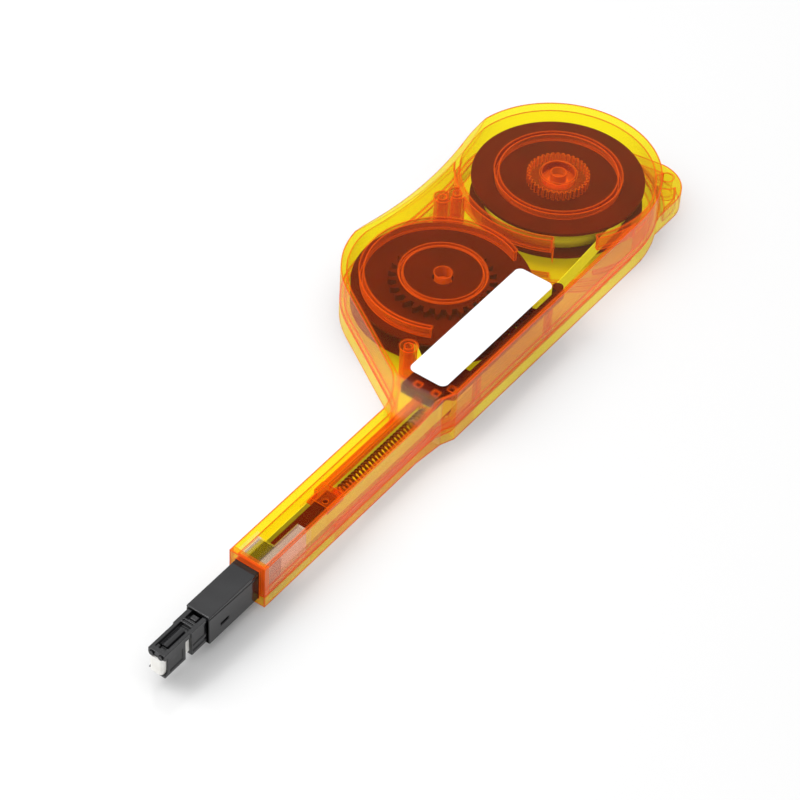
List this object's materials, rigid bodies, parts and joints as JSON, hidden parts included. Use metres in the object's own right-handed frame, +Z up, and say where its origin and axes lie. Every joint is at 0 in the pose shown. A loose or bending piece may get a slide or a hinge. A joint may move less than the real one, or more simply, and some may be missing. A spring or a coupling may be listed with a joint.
{
  "type": "fibre connector cleaning pen",
  "caption": "Push-type tape cleaner for multi-fibre connectors: a spring-loaded nozzle drives a tape from a supply reel over its tip to a take-up reel in a translucent shell.",
  "frame": {"origin": "in the plane that the body rests on, under the take-up reel's axis, on the centre plane of the barrel", "axes": "+X along the barrel, away from the nozzle; +Y across the body, towards the reel chambers; +Z up, towards the label"},
  "size_m": [0.2511, 0.0633, 0.0181],
  "materials": {
    "shell_orange": "gloss, see-through yellow-orange moulding",
    "label_white": "matte film, blank",
    "clear_plastic": "clear moulding",
    "black_plastic": "satin moulding",
    "pad_white": "soft pad",
    "black_steel": "blackened",
    "tape_white": "lint-free woven tape",
    "spring_steel": "bright wire",
    "orange_plastic": "gloss moulding",
    "reel_black": "satin moulding"
  },
  "bodies": {
    "housing": {"lower_shell": "shell_orange", "upper_shell": "shell_orange", "label_plate": "label_white", "front_guide": "clear_plastic", "tip_body": "black_plastic", "tip_carrier": "black_plastic", "nose_pad": "pad_white", "nose_pins": "black_steel", "tape_nose": "tape_white", "tape_feed": "tape_white", "tape_return": "tape_white", "return_spring": "spring_steel", "roller_pins": "spring_steel"},
    "slider": {"nozzle_sleeve": "black_plastic", "sleeve_cover": "black_plastic", "slider_bar": "black_plastic", "spring_seat": "orange_plastic", "rack_bar": "black_plastic"},
    "idler": {"idler_gear": "reel_black"},
    "takeup": {"takeup_reel": "reel_black", "takeup_gear": "reel_black", "takeup_roll": "tape_white"},
    "supply": {"supply_reel": "reel_black", "supply_roll": "tape_white", "hub_ring": "orange_plastic"},
    "feed_guide": {"feed_roller": "black_plastic"},
    "return_guide": {"return_roller": "black_plastic"}
  },
  "joints": [
    {"name": "nozzle_slide", "type": "slide", "parent": "housing", "child": "slider", "axis": [1, 0, 0], "range_m": [0, 0.008], "stiffness_N_per_m": 150, "springref_m": -0.01, "deforming": ["return_spring"]},
    {"name": "idler_turn", "type": "hinge", "parent": "housing", "child": "idler", "pos_m": [0, 0.00395, 0.0134], "axis": [0, 0, 1], "range_deg": [0, 70]},
    {"name": "takeup_turn", "type": "hinge", "parent": "housing", "child": "takeup", "pos_m": [0, 0.0254, 0.009], "axis": [0, 0, 1], "range_deg": [-31, 0]},
    {"name": "supply_turn", "type": "hinge", "parent": "housing", "child": "supply", "pos_m": [0.0582, 0.0247, 0.009], "axis": [0, 0, 1], "range_deg": [-20, 0]},
    {"name": "feed_roller_turn", "type": "hinge", "parent": "housing", "child": "feed_guide", "pos_m": [-0.036, -0.001, 0.0087], "axis": [0, 0, 1], "range_deg": [-228, 0]},
    {"name": "return_roller_turn", "type": "hinge", "parent": "housing", "child": "return_guide", "pos_m": [-0.036, 0.0052, 0.0087], "axis": [0, 0, 1], "range_deg": [0, 228]}
  ],
  "couplings": [
    {"joint": "idler_turn", "follows": "nozzle_slide", "rad_per_m": 151.52},
    {"joint": "takeup_turn", "follows": "nozzle_slide", "rad_per_m": -67.34},
    {"joint": "supply_turn", "follows": "nozzle_slide", "rad_per_m": -42.28},
    {"joint": "feed_roller_turn", "follows": "nozzle_slide", "rad_per_m": -496.2},
    {"joint": "return_roller_turn", "follows": "nozzle_slide", "rad_per_m": 496.2}
  ]
}
